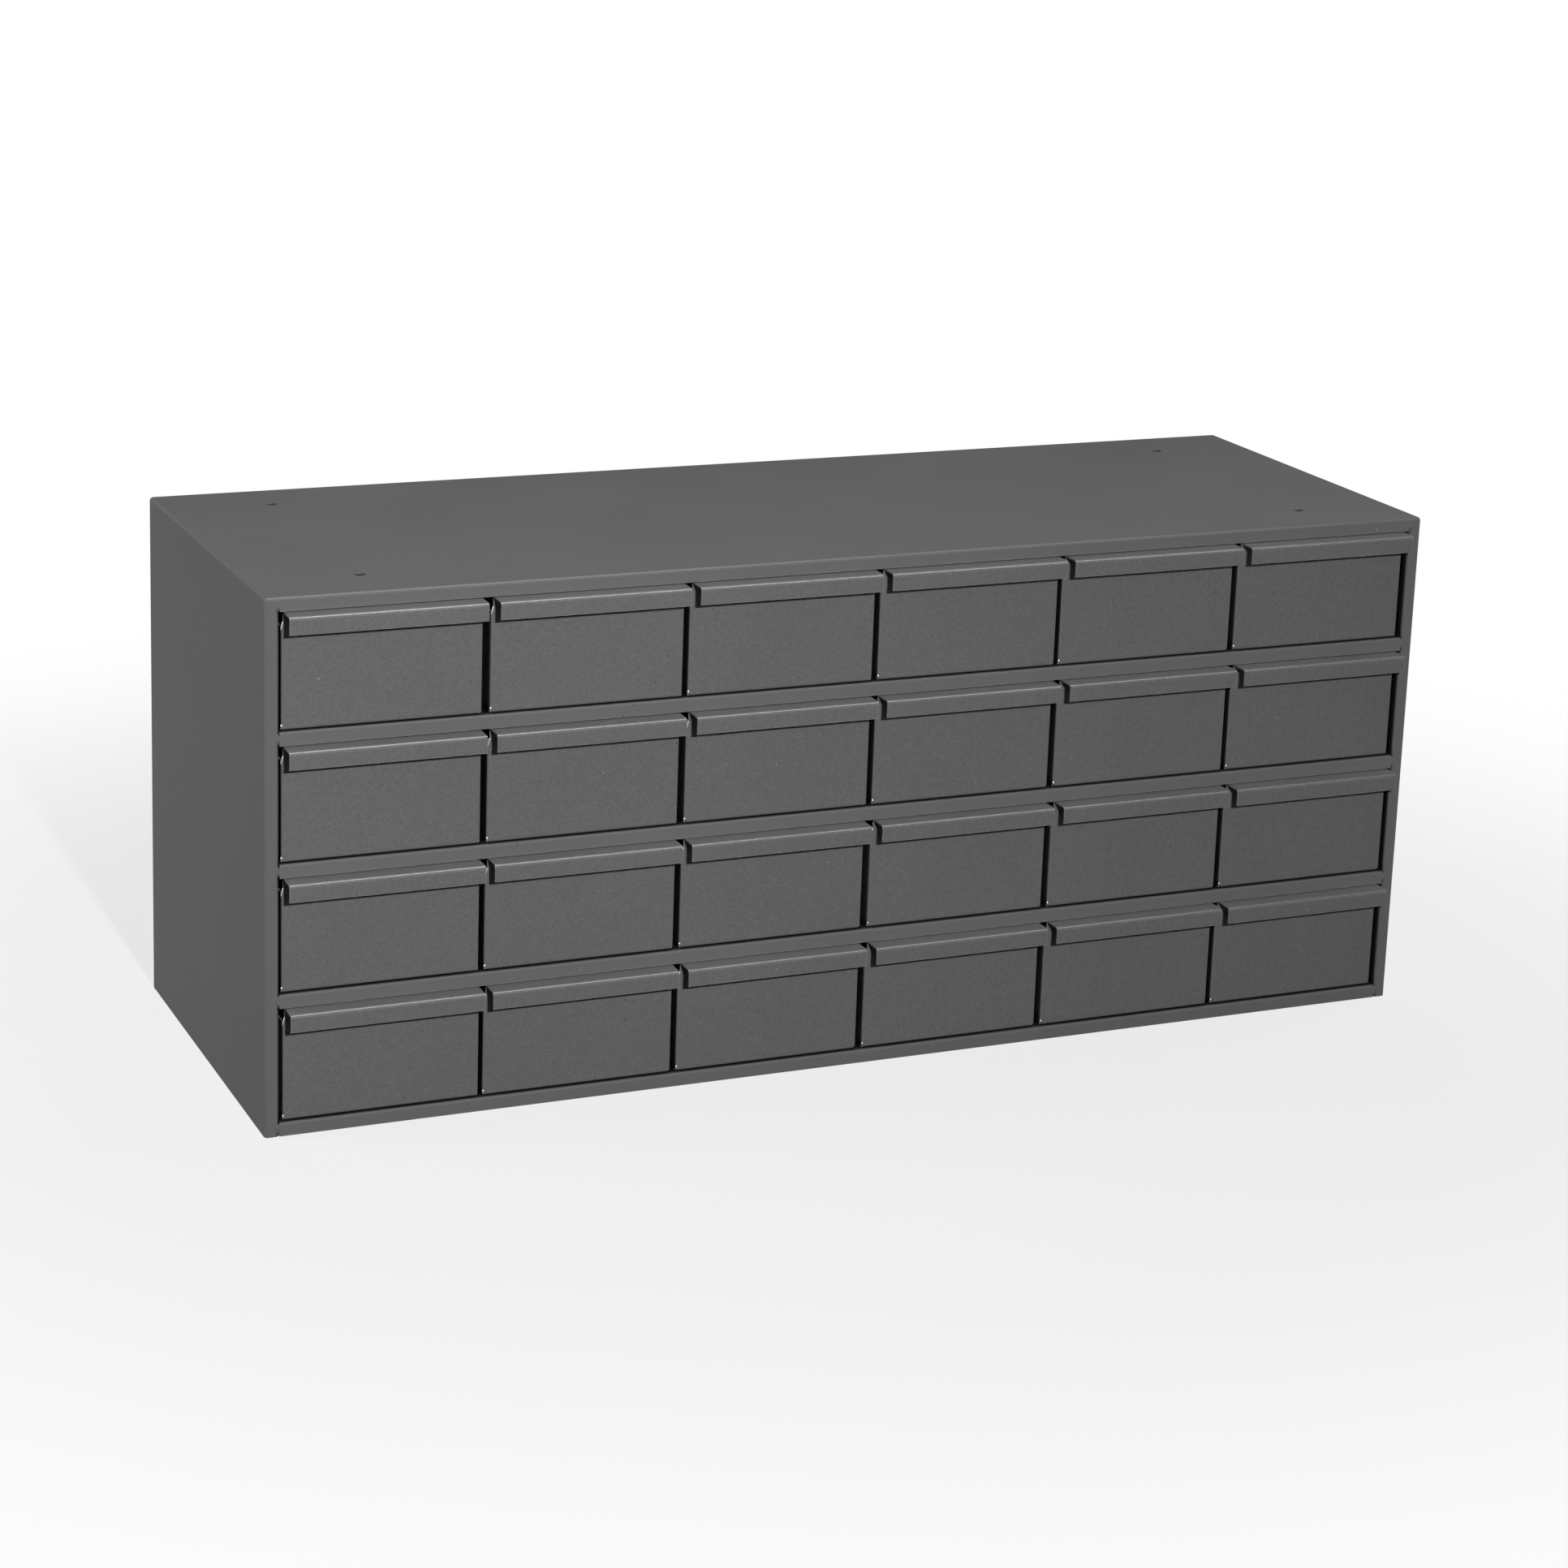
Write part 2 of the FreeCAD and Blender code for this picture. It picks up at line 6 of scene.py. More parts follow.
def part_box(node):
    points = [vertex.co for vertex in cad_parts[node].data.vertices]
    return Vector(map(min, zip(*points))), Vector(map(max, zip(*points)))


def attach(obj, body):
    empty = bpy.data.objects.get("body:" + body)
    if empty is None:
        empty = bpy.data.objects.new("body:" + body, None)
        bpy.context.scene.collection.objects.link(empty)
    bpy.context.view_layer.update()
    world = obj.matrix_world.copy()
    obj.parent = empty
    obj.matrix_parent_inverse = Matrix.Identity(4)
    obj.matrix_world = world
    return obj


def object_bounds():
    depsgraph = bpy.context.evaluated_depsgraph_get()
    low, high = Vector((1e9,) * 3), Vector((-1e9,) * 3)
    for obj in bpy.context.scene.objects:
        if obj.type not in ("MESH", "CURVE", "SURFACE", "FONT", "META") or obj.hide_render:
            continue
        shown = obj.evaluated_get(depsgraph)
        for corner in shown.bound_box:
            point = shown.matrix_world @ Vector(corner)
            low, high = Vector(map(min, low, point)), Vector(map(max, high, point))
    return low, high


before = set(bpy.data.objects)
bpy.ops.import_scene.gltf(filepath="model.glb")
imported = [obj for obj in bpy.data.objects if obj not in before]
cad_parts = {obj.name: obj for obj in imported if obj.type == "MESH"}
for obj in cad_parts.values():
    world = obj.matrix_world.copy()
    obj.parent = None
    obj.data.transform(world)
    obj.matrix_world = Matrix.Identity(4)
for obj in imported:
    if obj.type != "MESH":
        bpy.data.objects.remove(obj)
CAD_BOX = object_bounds()
MM = 0.001

# The photograph's frame, and the place, turn and lens of its camera round the cabinet.
PHOTO_SIDE = 1932
CAMERA_PLACE = (-1.03889, -2.32345, 0.94827)
CAMERA_AZIMUTH, CAMERA_ELEVATION, CAMERA_ROLL = -23.1861, 14.2878, 1.8292
FOCAL_PIXELS = 4534.28
OPTICAL_CENTRE = (908.0, 734.2)
SENSOR = 36.0
NEAREST, FARTHEST = 0.05, 50.0

# Nodes that the welds and burrs are placed by, and sizes of the sheet round them.
BINS = [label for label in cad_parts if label.startswith("drawer_r")]
SHELVES = [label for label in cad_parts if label.startswith("shelf_")]
REAR_FLANGE = 12.7 * MM
STILE_WIDTH = 9.525 * MM
RAIL_HEIGHT = 9.525 * MM
SEAM_GAP = 0.4 * MM
HANDLE_DEPTH = 15.9 * MM
HANDLE_INSET = 1.35 * MM
HANDLE_STEP = 69.0 * MM
CORNER_NOTCH = 1.6 * MM

# Width, length and height of each weld and burr, and the share of that size that the random draw gives it.
RAIL_BEAD = (3.6 * MM, 8.0 * MM, 1.6 * MM)
FLANGE_MARK = (5.5 * MM, 5.5 * MM, 0.15 * MM)
BIN_MARK = (4.5 * MM, 4.5 * MM, 0.12 * MM)
# The burrs are bare steel placed where the bins' fronts catch a highlight, so they also stand in for those
# highlights.
CUT_BURR_GLINT = (1.2 * MM, 6.5 * MM, 0.9 * MM)
CORNER_BURR_GLINT = (1.5 * MM, 2.4 * MM, 0.9 * MM)
SMALLEST, LARGEST, SEED = 0.85, 1.15, 11

# Sizes of the patterns in the enamel and the bare steel. A real spray leaves a grain several times finer,
# which wouldn't show in the render, so it is drawn as coarse as it needs to show.
CLOUDS = 90 * MM
SPRAY = 1.3 * MM
PEEL = 3.2 * MM
CHIPS = 5 * MM
STREAKS = 1.2 * MM
# Reach of the edge mask, which lays both edge wear and painted highlights along edges and corners.
EDGE_WEAR_AND_HIGHLIGHT_REACH = 0.8 * MM
NIBS_APART, NIB_RADIUS, NIB_SEED = 8 * MM, 0.5 * MM, 3.0
FLECKS_APART, FLECK_RADIUS, FLECK_SEED = 14 * MM, 0.6 * MM, 7.0
FILM_RELIEF = 0.03 * MM
# How far the painted shade in the gaps looks for nearby faces.
GAP_REACH = 8 * MM
# Colours of dust nibs, pale flecks, worn edges that also serve as painted highlights at sharp corners, and
# near-black painted shade.
NIB, FLECK, WORN_AND_GLINT, PAINTED_SHADE_COLOUR = "#262626", "#8c8c8a", "#a2a2a0", "#0e0e0e"

# Nearly all of a noise texture's values lie between these two.
NOISE_LOW, NOISE_HIGH = 0.3, 0.7

# Rays that the masks of the edges and the gaps cast.
MASK_RAYS = 6


def linear(hex_code):
    """Linear RGBA of an sRGB hex colour."""
    channels = [int(hex_code[at:at + 2], 16) / 255 for at in (1, 3, 5)]
    return tuple(c / 12.92 if c <= 0.04045 else ((c + 0.055) / 1.055) ** 2.4 for c in channels) + (1.0,)


def add(tree, kind, inputs=None, **settings):
    """Adds a node to a tree. An input is a plain value or the socket that feeds it."""
    made = tree.nodes.new(kind)
    for name, value in settings.items():
        setattr(made, name, value)
    for name, value in (inputs or {}).items():
        if isinstance(value, bpy.types.NodeSocket):
            tree.links.new(value, made.inputs[name])
        else:
            made.inputs[name].default_value = value
    return made


def new_material(name):
    """An empty node material and its tree."""
    material = bpy.data.materials.new(name)
    material.use_nodes = True
    material.node_tree.nodes.clear()
    return material, material.node_tree


def product(tree, *values):
    """Product of sockets and plain values."""
    result = values[0]
    for value in values[1:]:
        result = add(tree, "ShaderNodeMath", {0: result, 1: value}, operation="MULTIPLY").outputs[0]
    return result


def specks(tree, place, spacing, radius, seed):
    """Mask of round specks that are a spacing apart on average, each of its own size up to the radius."""
    moved = add(tree, "ShaderNodeVectorMath", {0: place, 1: (seed, seed / 2, seed / 3)}, operation="ADD")
    cells = add(tree, "ShaderNodeTexVoronoi", {"Vector": moved.outputs[0], "Scale": 1 / spacing})
    random = add(tree, "ShaderNodeSeparateColor", {"Color": cells.outputs["Color"]})
    edge = product(tree, random.outputs["Red"], radius / spacing)
    inside = add(tree, "ShaderNodeMath", {0: cells.outputs["Distance"], 1: edge}, operation="LESS_THAN")
    return inside.outputs[0]


def fold_mask(tree):
    """1 on the rounded folds of the sheet, whose faces look along no axis, and 0 on its flat faces."""
    flat, folded = 0.985, 0.85
    normal = add(tree, "ShaderNodeNewGeometry").outputs["Normal"]
    size = add(tree, "ShaderNodeVectorMath", {0: normal}, operation="ABSOLUTE")
    parts = add(tree, "ShaderNodeSeparateXYZ", {0: size.outputs[0]})
    widest = add(tree, "ShaderNodeMath", {0: parts.outputs[0], 1: parts.outputs[1]}, operation="MAXIMUM")
    widest = add(tree, "ShaderNodeMath", {0: widest.outputs[0], 1: parts.outputs[2]}, operation="MAXIMUM")
    mask = add(tree, "ShaderNodeMapRange", {
        "Value": widest.outputs[0], "From Min": flat, "From Max": folded}, interpolation_type="SMOOTHSTEP")
    return mask.outputs[0]


def upward_mask(tree):
    """1 on the flat faces that look up, which take a painted top light."""
    sloping, level = 0.9, 0.99
    normal = add(tree, "ShaderNodeNewGeometry").outputs["Normal"]
    parts = add(tree, "ShaderNodeSeparateXYZ", {0: normal})
    mask = add(tree, "ShaderNodeMapRange", {
        "Value": parts.outputs[2], "From Min": sloping, "From Max": level})
    return mask.outputs[0]


def edge_masks(tree, reach):
    """1 along the sharp edges of the cut sheet, and 1 at its sharp corners alone, within a reach of them.

    The product of a face's own direction and the one that a small bevel gives it is 1 on a flat face, about
    0.71 on a square edge and about 0.58 at the corner of three faces.
    """
    edge_starts, edge_full = 0.97, 0.75
    corner_starts, corner_full = 0.74, 0.64
    true_normal = add(tree, "ShaderNodeNewGeometry").outputs["Normal"]
    rounded = add(tree, "ShaderNodeBevel", {"Radius": reach}, samples=MASK_RAYS)
    along = add(tree, "ShaderNodeVectorMath", {
        0: true_normal, 1: rounded.outputs[0]}, operation="DOT_PRODUCT").outputs["Value"]
    edge = add(tree, "ShaderNodeMapRange", {"Value": along, "From Min": edge_starts, "From Max": edge_full})
    corner = add(tree, "ShaderNodeMapRange", {
        "Value": along, "From Min": corner_starts, "From Max": corner_full})
    return edge.outputs[0], corner.outputs[0]


def painted_shade_mask(tree, place, openness, facing, depth):
    """1 in the narrow gaps and inner corners, where painted shade darkens the film, up to a depth behind the
    handles' fronts.

    It begins where a face sees less than the given openness of its surroundings. facing says which faces
    hold it: how much of it those that look along x, y and z take. The cabinet's outer sides hold none.
    """
    blend, fade, skin = 0.2, 10 * MM, 5 * MM
    seen = add(tree, "ShaderNodeAmbientOcclusion", {"Distance": GAP_REACH}, samples=MASK_RAYS)
    narrow = add(tree, "ShaderNodeMapRange", {
        "Value": seen.outputs["AO"], "From Min": openness, "From Max": openness - blend})
    normal = add(tree, "ShaderNodeNewGeometry").outputs["Normal"]
    size = add(tree, "ShaderNodeVectorMath", {0: normal}, operation="ABSOLUTE")
    held = add(tree, "ShaderNodeVectorMath", {0: size.outputs[0], 1: facing}, operation="DOT_PRODUCT")
    parts = add(tree, "ShaderNodeSeparateXYZ", {0: place})
    front = CAD_BOX[0][1] + depth
    near = add(tree, "ShaderNodeMapRange", {
        "Value": parts.outputs[1], "From Min": front, "From Max": front + fade, "To Min": 1.0, "To Max": 0.0})
    across = add(tree, "ShaderNodeMath", {0: parts.outputs[0]}, operation="ABSOLUTE")
    inside = add(tree, "ShaderNodeMath", {
        0: across.outputs[0], 1: CAD_BOX[1][0] - skin}, operation="LESS_THAN")
    return product(tree, narrow.outputs[0], held.outputs["Value"], near.outputs[0], inside.outputs[0])


def baked_enamel(name, hex_code, shine, grain, fold_highlight_tone, fold_gloss, edge_highlight_tone, top_light_tone, openness,
                 shade_facing, shade_depth):
    """Grey enamel, sprayed on folded sheet steel and baked.

    It gives the eye an even half-matt grey with a fine grain and a little dust under the film, a smoother
    line over each fold that a painted highlight makes lighter, a painted highlight along the cut edges, paler
    worn film where the edges chip and a painted highlight at sharp corners, painted top light on what faces
    up, and painted shade, near-black, in the gaps. The tones are factors on the colour, and fold_gloss is a
    roughness.
    """
    darkest_cloud, palest_cloud = 0.975, 1.025
    glossiest, dullest = 0.58, 0.64
    whole_film, broken_film = 0.42, 0.66
    spray_share, relief_strength, refraction = 0.4, 0.3, 1.5
    material, tree = new_material(name)
    place = add(tree, "ShaderNodeTexCoord").outputs["Object"]
    clouds = add(tree, "ShaderNodeTexNoise", {"Vector": place, "Scale": 1 / CLOUDS, "Detail": 2.0})
    spray = add(tree, "ShaderNodeTexNoise", {"Vector": place, "Scale": 1 / SPRAY, "Detail": 2.0})
    peel = add(tree, "ShaderNodeTexNoise", {"Vector": place, "Scale": 1 / PEEL, "Detail": 2.0})
    chips = add(tree, "ShaderNodeTexNoise", {"Vector": place, "Scale": 1 / CHIPS, "Detail": 3.0})
    fold = fold_mask(tree)
    edge, corner = edge_masks(tree, EDGE_WEAR_AND_HIGHLIGHT_REACH)
    broken = add(tree, "ShaderNodeMapRange", {
        "Value": chips.outputs["Fac"], "From Min": whole_film, "From Max": broken_film})
    # Worn paler film where chips break the cut edges, and a painted highlight at every sharp corner.
    wear_and_glint_mask = add(tree, "ShaderNodeMath", {
        0: product(tree, edge, broken.outputs[0]), 1: corner}, operation="MAXIMUM").outputs[0]

    cloud_tone = add(tree, "ShaderNodeMapRange", {
        "Value": clouds.outputs["Fac"], "From Min": NOISE_LOW, "From Max": NOISE_HIGH,
        "To Min": darkest_cloud, "To Max": palest_cloud})
    grain_tone = add(tree, "ShaderNodeMapRange", {
        "Value": spray.outputs["Fac"], "From Min": NOISE_LOW, "From Max": NOISE_HIGH,
        "To Min": 1 - grain, "To Max": 1 + grain})
    # Painted highlights: the folds and the cut edges are painted lighter, and painted top light lightens the
    # faces that look up.
    painted_fold_light = add(tree, "ShaderNodeMapRange", {"Value": fold, "To Min": 1.0, "To Max": fold_highlight_tone})
    painted_edge_light = add(tree, "ShaderNodeMapRange", {"Value": edge, "To Min": 1.0, "To Max": edge_highlight_tone})
    painted_top_light = add(tree, "ShaderNodeMapRange", {"Value": upward_mask(tree), "To Min": 1.0, "To Max": top_light_tone})
    tone = product(tree, cloud_tone.outputs[0], grain_tone.outputs[0], painted_fold_light.outputs[0], painted_edge_light.outputs[0],
                   painted_top_light.outputs[0])
    film = add(tree, "ShaderNodeHueSaturation", {"Color": linear(hex_code), "Value": tone})
    nibs = specks(tree, place, NIBS_APART, NIB_RADIUS, NIB_SEED)
    dusted = add(tree, "ShaderNodeMix", {0: nibs, 6: film.outputs[0], 7: linear(NIB)}, data_type="RGBA")
    flecks = specks(tree, place, FLECKS_APART, FLECK_RADIUS, FLECK_SEED)
    flecked = add(tree, "ShaderNodeMix", {
        0: flecks, 6: dusted.outputs[2], 7: linear(FLECK)}, data_type="RGBA")
    worn_and_glinting_film = add(tree, "ShaderNodeMix", {
        0: wear_and_glint_mask, 6: flecked.outputs[2], 7: linear(WORN_AND_GLINT)}, data_type="RGBA")
    # Painted shade: the narrow gaps and inner corners are painted near-black.
    gap_shade = painted_shade_mask(tree, place, openness, shade_facing, shade_depth)
    shaded_film = add(tree, "ShaderNodeMix", {0: gap_shade, 6: worn_and_glinting_film.outputs[2], 7: linear(PAINTED_SHADE_COLOUR)}, data_type="RGBA")

    gloss = add(tree, "ShaderNodeMapRange", {
        "Value": clouds.outputs["Fac"], "From Min": NOISE_LOW, "From Max": NOISE_HIGH,
        "To Min": glossiest, "To Max": dullest})
    rough = add(tree, "ShaderNodeMix", {0: fold, 2: gloss.outputs[0], 3: fold_gloss})
    height = add(tree, "ShaderNodeMath", {
        0: peel.outputs["Fac"], 1: product(tree, spray.outputs["Fac"], spray_share)}, operation="ADD")
    bump = add(tree, "ShaderNodeBump", {
        "Height": height.outputs[0], "Strength": relief_strength, "Distance": FILM_RELIEF})
    shader = add(tree, "ShaderNodeBsdfPrincipled", {
        "Base Color": shaded_film.outputs[2], "Roughness": rough.outputs[0], "Normal": bump.outputs[0],
        "IOR": refraction, "Specular IOR Level": shine})
    add(tree, "ShaderNodeOutputMaterial", {"Surface": shader.outputs[0]})
    return material


def bare_steel(name, hex_code, roughness):
    """Mild steel where the enamel has broken away: a bright, dull-edged metal with a few darker streaks."""
    darkest, brightest = 0.75, 1.15
    material, tree = new_material(name)
    place = add(tree, "ShaderNodeTexCoord").outputs["Object"]
    streaks = add(tree, "ShaderNodeTexNoise", {"Vector": place, "Scale": 1 / STREAKS, "Detail": 3.0})
    tone = add(tree, "ShaderNodeMapRange", {
        "Value": streaks.outputs["Fac"], "To Min": darkest, "To Max": brightest})
    metal = add(tree, "ShaderNodeHueSaturation", {"Color": linear(hex_code), "Value": tone.outputs[0]})
    shader = add(tree, "ShaderNodeBsdfPrincipled", {
        "Base Color": metal.outputs[0], "Metallic": 1.0, "Roughness": roughness})
    add(tree, "ShaderNodeOutputMaterial", {"Surface": shader.outputs[0]})
    return material


# The cabinet's film is smooth, with painted shade in every narrow gap whose walls face sideways, up or down.
# The bins' film is coarser, with glossier folds, and painted shade sits between the bins, near their fronts.
# Both have painted highlights along the cut edges; the bins also on their folds, with painted top light on
# what faces up.
CABINET_ENAMEL = baked_enamel(
    "baked_enamel_cabinet", "#676767", shine=0.16, grain=0.01, fold_highlight_tone=1.0, fold_gloss=0.55, edge_highlight_tone=1.15,
    top_light_tone=1.0, openness=0.95, shade_facing=(1, 0, 1), shade_depth=1.0)
BIN_ENAMEL = baked_enamel(
    "baked_enamel_bins", "#646464", shine=0.26, grain=0.13, fold_highlight_tone=1.12, fold_gloss=0.34, edge_highlight_tone=1.45,
    top_light_tone=1.42, openness=0.7, shade_facing=(1, 0, 0), shade_depth=28 * MM)
BARE_STEEL = bare_steel("bare_steel", "#c6c5c1", roughness=0.42)
for label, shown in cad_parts.items():
    is_bin = label.startswith(("drawer_r", "divider"))
    for slot in shown.material_slots:
        slot.material = BIN_ENAMEL if is_bin else CABINET_ENAMEL


def instances(name, build_shape):
    """A tree that sets one small shape on every point of a mesh, each a little larger or smaller.

    build_shape(tree) adds the shape's nodes and returns its mesh; its z axis is the way it faces.
    """
    tree = bpy.data.node_groups.new(name, "GeometryNodeTree")
    tree.interface.new_socket("Geometry", in_out="INPUT", socket_type="NodeSocketGeometry")
    for size in ("Width", "Length", "Height"):
        tree.interface.new_socket(size, in_out="INPUT", socket_type="NodeSocketFloat")
    tree.interface.new_socket("Facing", in_out="INPUT", socket_type="NodeSocketRotation")
    tree.interface.new_socket("Finish", in_out="INPUT", socket_type="NodeSocketMaterial")
    tree.interface.new_socket("Geometry", in_out="OUTPUT", socket_type="NodeSocketGeometry")
    sizes = add(tree, "NodeGroupInput").outputs
    shape = build_shape(tree)
    scale = add(tree, "ShaderNodeCombineXYZ", {0: sizes["Width"], 1: sizes["Length"], 2: sizes["Height"]})
    spread = add(tree, "FunctionNodeRandomValue", {2: SMALLEST, 3: LARGEST, "Seed": SEED}, data_type="FLOAT")
    scaled = add(tree, "ShaderNodeVectorMath", {
        0: scale.outputs[0], 1: spread.outputs[1]}, operation="MULTIPLY")
    placed = add(tree, "GeometryNodeInstanceOnPoints", {
        "Points": sizes["Geometry"], "Instance": shape, "Rotation": sizes["Facing"],
        "Scale": scaled.outputs[0]})
    real = add(tree, "GeometryNodeRealizeInstances", {"Geometry": placed.outputs[0]})
    smooth = add(tree, "GeometryNodeSetShadeSmooth", {"Geometry": real.outputs[0]})
    finished = add(tree, "GeometryNodeSetMaterial", {
        "Geometry": smooth.outputs[0], "Material": sizes["Finish"]})
    add(tree, "NodeGroupOutput", {"Geometry": finished.outputs[0]})
    return tree


def bead(tree):
    """A short run of metal: a ball of diameter 1 that the sizes flatten."""
    return add(tree, "GeometryNodeMeshIcoSphere", {"Radius": 0.5, "Subdivisions": 2}).outputs["Mesh"]


def electrode_mark(tree):
    """The shallow crater with a raised rim that a spot welder's tip leaves, of diameter 1 and height 1."""
    corners, shoulder, inside_rim, dent_depth, dent_floor = 14, 0.38, 0.8, 0.6, 0.7
    cone = add(tree, "GeometryNodeMeshCone", {
        "Vertices": corners, "Radius Top": shoulder, "Radius Bottom": 0.5, "Depth": 1.0}, fill_type="NGON")
    rim = add(tree, "GeometryNodeExtrudeMesh", {
        "Mesh": cone.outputs["Mesh"], "Selection": cone.outputs["Top"], "Offset Scale": 0.0}, mode="FACES")
    lip = add(tree, "GeometryNodeScaleElements", {
        "Geometry": rim.outputs["Mesh"], "Selection": rim.outputs["Top"], "Scale": inside_rim}, domain="FACE")
    dent = add(tree, "GeometryNodeExtrudeMesh", {
        "Mesh": lip.outputs[0], "Selection": rim.outputs["Top"], "Offset Scale": -dent_depth}, mode="FACES")
    floor = add(tree, "GeometryNodeScaleElements", {
        "Geometry": dent.outputs["Mesh"], "Selection": dent.outputs["Top"], "Scale": dent_floor},
        domain="FACE")
    return floor.outputs[0]


def grow(name, tree, points, sizes, facing, finish):
    """A plain mesh piece: the tree's shape on each of the points."""
    mesh = bpy.data.meshes.new(name)
    mesh.from_pydata([tuple(point) for point in points], [], [])
    holder = bpy.data.objects.new(f"{name}_points", mesh)
    bpy.context.scene.collection.objects.link(holder)
    modifier = holder.modifiers.new(tree.name, "NODES")
    modifier.node_group = tree
    values = dict(zip(("Width", "Length", "Height"), sizes), Facing=facing, Finish=finish)
    for socket in tree.interface.items_tree:
        if socket.in_out == "INPUT" and socket.name in values:
            modifier[socket.identifier] = values[socket.name]
    grown = holder.evaluated_get(bpy.context.evaluated_depsgraph_get())
    piece = bpy.data.objects.new(name, bpy.data.meshes.new_from_object(grown))
    bpy.context.scene.collection.objects.link(piece)
    bpy.data.objects.remove(holder)
    return piece


BEADS = instances("weld_beads", bead)
MARKS = instances("electrode_marks", electrode_mark)
QUARTER = math.pi / 2
TO_FRONT, TO_BACK = (QUARTER, 0, 0), (-QUARTER, 0, 0)
TO_LEFT, TO_RIGHT = (0, -QUARTER, 0), (0, QUARTER, 0)


def steps(first, last, longest):
    """Evenly spaced values from first to last, no further apart than longest."""
    count = math.ceil((last - first) / longest)
    return [first + (last - first) * number / count for number in range(count + 1)]


def weld_rails():
    """Beads that join each rail's ends to the stiles: they fill the seam up to the stile's rounded fold.

    The top rail's seams start under the fold of the top, so their beads sit lower than half its height.
    """
    toward_stile, sunk = 1.0 * MM, 0.6 * MM
    rail_middle, top_rail_middle = 0.5 * RAIL_HEIGHT, 0.55 * RAIL_HEIGHT
    low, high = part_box("cabinet_shell")
    levels = [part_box(label)[1][2] - rail_middle for label in SHELVES] + [high[2] - top_rail_middle]
    across = high[0] - STILE_WIDTH - SEAM_GAP / 2 + toward_stile
    frame_face = low[1]
    points = [(side * across, frame_face + sunk, level) for side in (-1, 1) for level in levels]
    piece = grow("rail_weld_beads", BEADS, points, RAIL_BEAD, TO_FRONT, CABINET_ENAMEL)
    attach(piece, "cabinet")


def weld_back():
    """Electrode marks round the rear flange, where it holds the back panel."""
    level_pitch, upright_pitch, lowest, below_top = 80 * MM, 62 * MM, 20 * MM, 60 * MM
    low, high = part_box("cabinet_shell")
    middle = REAR_FLANGE / 2
    across, top = high[0] - middle, high[2] - middle
    heights = steps(lowest, top - below_top, upright_pitch)
    points = [(x, high[1], top) for x in steps(-across, across, level_pitch)]
    points += [(side * across, high[1], z) for side in (-1, 1) for z in heights]
    piece = grow("rear_flange_welds", MARKS, points, FLANGE_MARK, TO_BACK, CABINET_ENAMEL)
    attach(piece, "cabinet")


def weld_bin(label):
    """Electrode marks on a bin's sides, where the corner tabs are welded, above the guide bars."""
    behind_front, before_rear = 24 * MM, 7 * MM
    lower, upper = 31 * MM, 55 * MM
    low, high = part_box(label)
    rows = (low[1] + HANDLE_DEPTH + behind_front, high[1] - before_rear)
    for side, name, facing in ((low[0], "left", TO_LEFT), (high[0], "right", TO_RIGHT)):
        points = [(side, y, low[2] + z) for y in rows for z in (lower, upper)]
        piece = grow(f"{label}_{name}_welds", MARKS, points, BIN_MARK, facing, BIN_ENAMEL)
        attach(piece, label.replace("drawer", "bin"))


def burr_and_glint_bin(label, side, name):
    """Bright bare-steel burrs on a bin's front, which also stand in for its highlights: on the cut where it
    narrows to the handle, and at its lower left corner.

    side is -1 at the left and 1 at the right. The burrs lean a little, in radians.
    """
    cut_lean, corner_lean = 0.25, 0.1
    in_from_side, above_notch = 0.5 * MM, 1.2 * MM
    low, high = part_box(label)
    edge, front = (high[0] if side > 0 else low[0]), low[1] + HANDLE_DEPTH
    cut = (edge - side * 0.5 * HANDLE_INSET, front, low[2] + HANDLE_STEP)
    corner = (edge - side * in_from_side, front, low[2] + CORNER_NOTCH + above_notch)
    burrs = [("cut", cut, CUT_BURR_GLINT, -side * cut_lean)]
    # The corner burr, a painted highlight as well, goes on the left only, the side that the light falls on.
    if side < 0:
        burrs.append(("corner", corner, CORNER_BURR_GLINT, side * corner_lean))
    for part, point, size, lean in burrs:
        piece = grow(f"{label}_{name}_{part}_burr", BEADS, [point], size, (QUARTER, lean, 0), BARE_STEEL)
        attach(piece, label.replace("drawer", "bin"))


weld_rails()
weld_back()
for label in BINS:
    weld_bin(label)
    burr_and_glint_bin(label, -1, "left")
    burr_and_glint_bin(label, 1, "right")


def make_camera():
    """The photograph's camera."""
    azimuth, elevation, roll = map(math.radians, (CAMERA_AZIMUTH, CAMERA_ELEVATION, CAMERA_ROLL))
    back = Vector((math.sin(azimuth) * math.cos(elevation), -math.cos(azimuth) * math.cos(elevation),
                   math.sin(elevation)))
    level = (-back).cross(Vector((0, 0, 1))).normalized()
    upright = level.cross(-back)
    right = level * math.cos(roll) + upright * math.sin(roll)
    up = upright * math.cos(roll) - level * math.sin(roll)
    turn = Matrix((right, up, back)).transposed().to_4x4()
    camera = bpy.data.objects.new("camera", bpy.data.cameras.new("camera"))
    bpy.context.scene.collection.objects.link(camera)
    camera.matrix_world = Matrix.Translation(CAMERA_PLACE) @ turn
    camera.data.sensor_width = SENSOR
    camera.data.lens = FOCAL_PIXELS / PHOTO_SIDE * SENSOR
    camera.data.shift_x = (PHOTO_SIDE / 2 - OPTICAL_CENTRE[0]) / PHOTO_SIDE
    camera.data.shift_y = (OPTICAL_CENTRE[1] - PHOTO_SIDE / 2) / PHOTO_SIDE
    camera.data.clip_start, camera.data.clip_end = NEAREST, FARTHEST
    bpy.context.scene.camera = camera


def aim_lamp(name, lamp, place, aim):
    """Puts a lamp in the scene, aimed at a point."""
    item = bpy.data.objects.new(name, lamp)
    item.location = place
    item.rotation_mode = "QUATERNION"
    item.rotation_quaternion = (Vector(aim) - Vector(place)).to_track_quat("-Z", "Y")
    bpy.context.scene.collection.objects.link(item)
    return item


